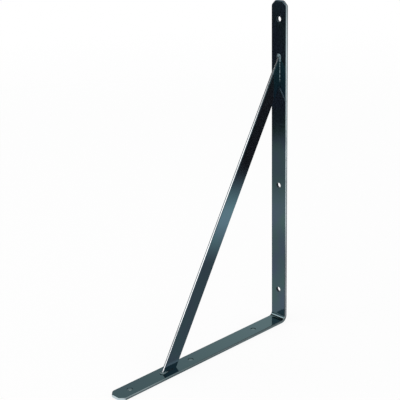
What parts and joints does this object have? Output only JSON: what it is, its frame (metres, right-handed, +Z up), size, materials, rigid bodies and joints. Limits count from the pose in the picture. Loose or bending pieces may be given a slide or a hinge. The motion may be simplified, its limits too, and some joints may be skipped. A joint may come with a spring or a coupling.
{
  "type": "reinforced angle bracket",
  "caption": "Steel angle bracket folded from flat bar, with a long and a short leg, plain screw holes and a mitred flat brace welded on edge across the corner.",
  "frame": {"origin": "middle of the box's underside, on the surface that the short leg stands on", "axes": "+X along the short leg away from the wall, +Z up the long leg, Y across the width of the bars; the wall plane is at x = -0.170 m"},
  "size_m": [0.34, 0.028, 0.5],
  "materials": {
    "zinc_plate": "dark, smooth, mirror-like metal with a teal-grey cast, brighter along the rounded edges",
    "weld_metal": "weld bead under the same plating, rippled and duller than the bars"
  },
  "bodies": {
    "root": {"angle_bar": "zinc_plate", "brace": "zinc_plate", "upper_weld": "weld_metal", "lower_weld": "weld_metal"}
  },
  "joints": []
}
